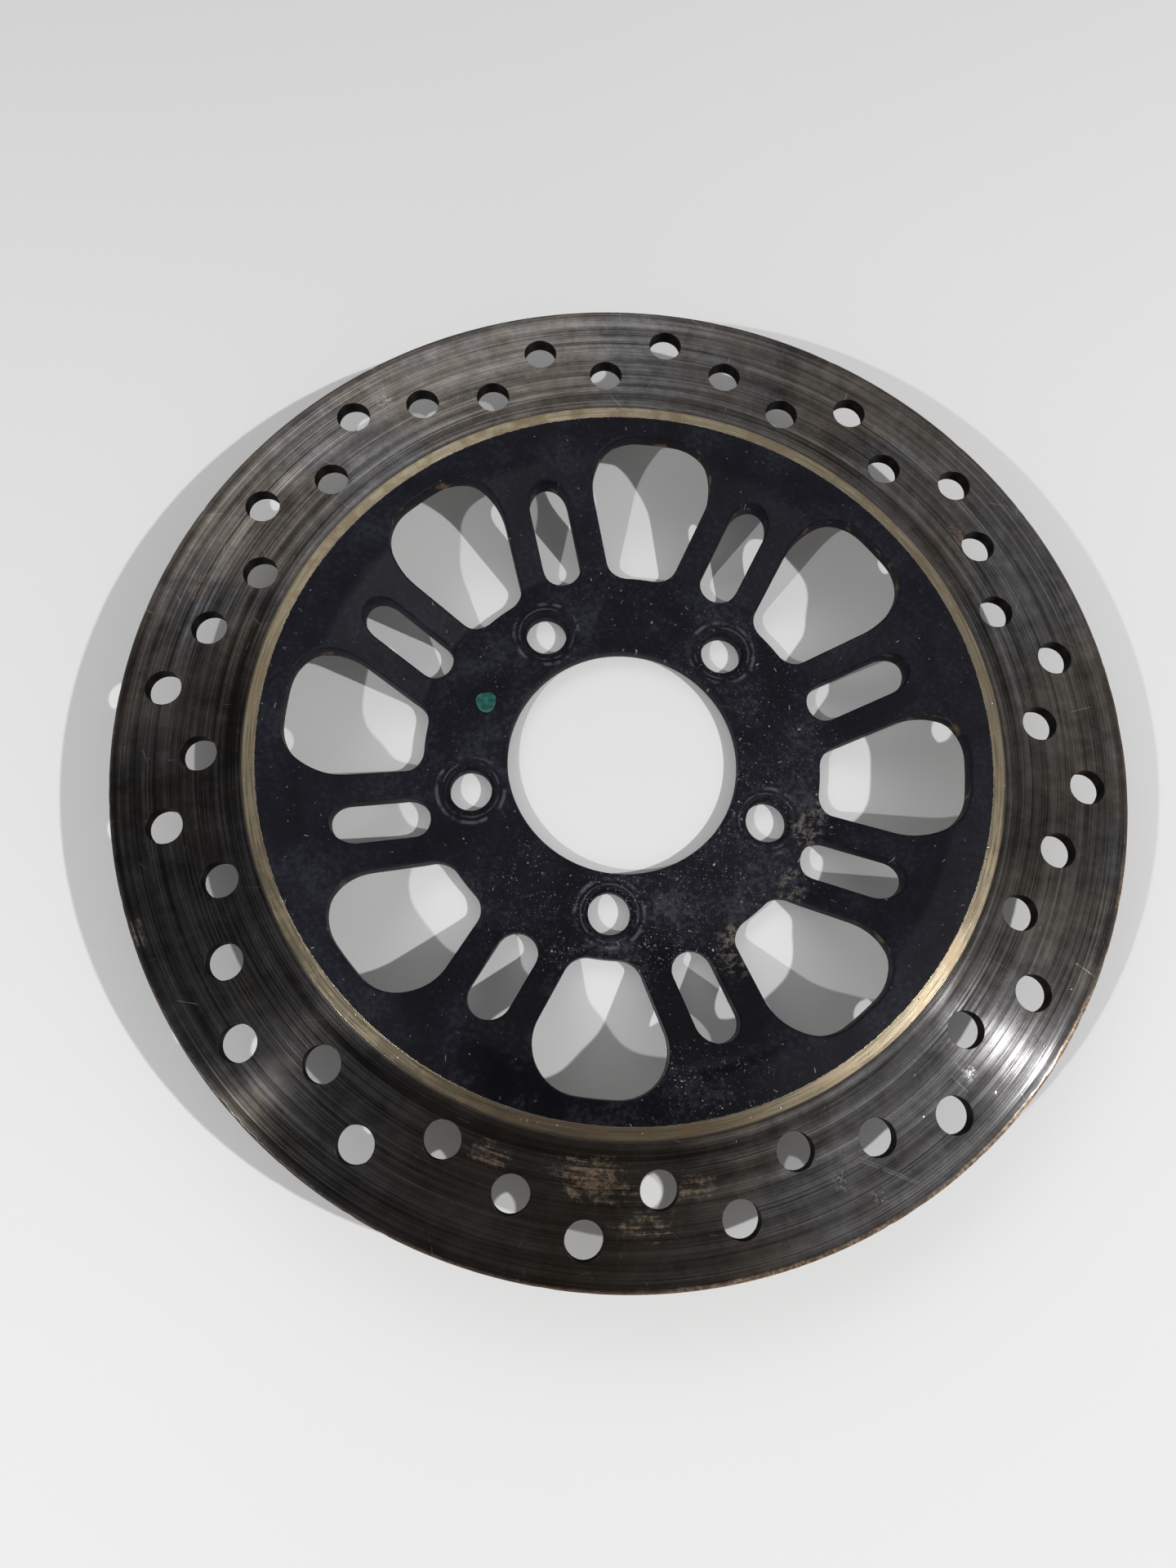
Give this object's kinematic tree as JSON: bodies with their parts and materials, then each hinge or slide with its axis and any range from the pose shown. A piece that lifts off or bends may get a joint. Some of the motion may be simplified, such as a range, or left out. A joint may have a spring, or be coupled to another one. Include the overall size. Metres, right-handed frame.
{
  "type": "brake disc rotor",
  "caption": "Dished, drilled brake disc with a bare steel friction ring and a black painted carrier of forked arms and a bolted hub flange.",
  "frame": {"origin": "on the wheel's axis, on the hub flange's lower face, which is the face that seats on the wheel", "axes": "+Z along the wheel's axis, towards the hollow side of the dish; -Y through the bolt hole that lines up with a window"},
  "size_m": [0.24, 0.24, 0.022],
  "materials": {
    "worn_steel": "ground and pad-worn in rings, with rust stains",
    "bare_steel": "bare, unswept, stained straw colour",
    "black_paint": "satin black paint, dusty and scratched",
    "green_paint": "brushed-on dab of enamel"
  },
  "bodies": {
    "root": {"friction_ring": "worn_steel", "bare_land": "bare_steel", "painted_rim": "black_paint", "arm_1": "black_paint", "arm_2": "black_paint", "arm_3": "black_paint", "arm_4": "black_paint", "arm_5": "black_paint", "arm_6": "black_paint", "arm_7": "black_paint", "arm_8": "black_paint", "hub_flange": "black_paint", "paint_dab": "green_paint"}
  },
  "joints": []
}
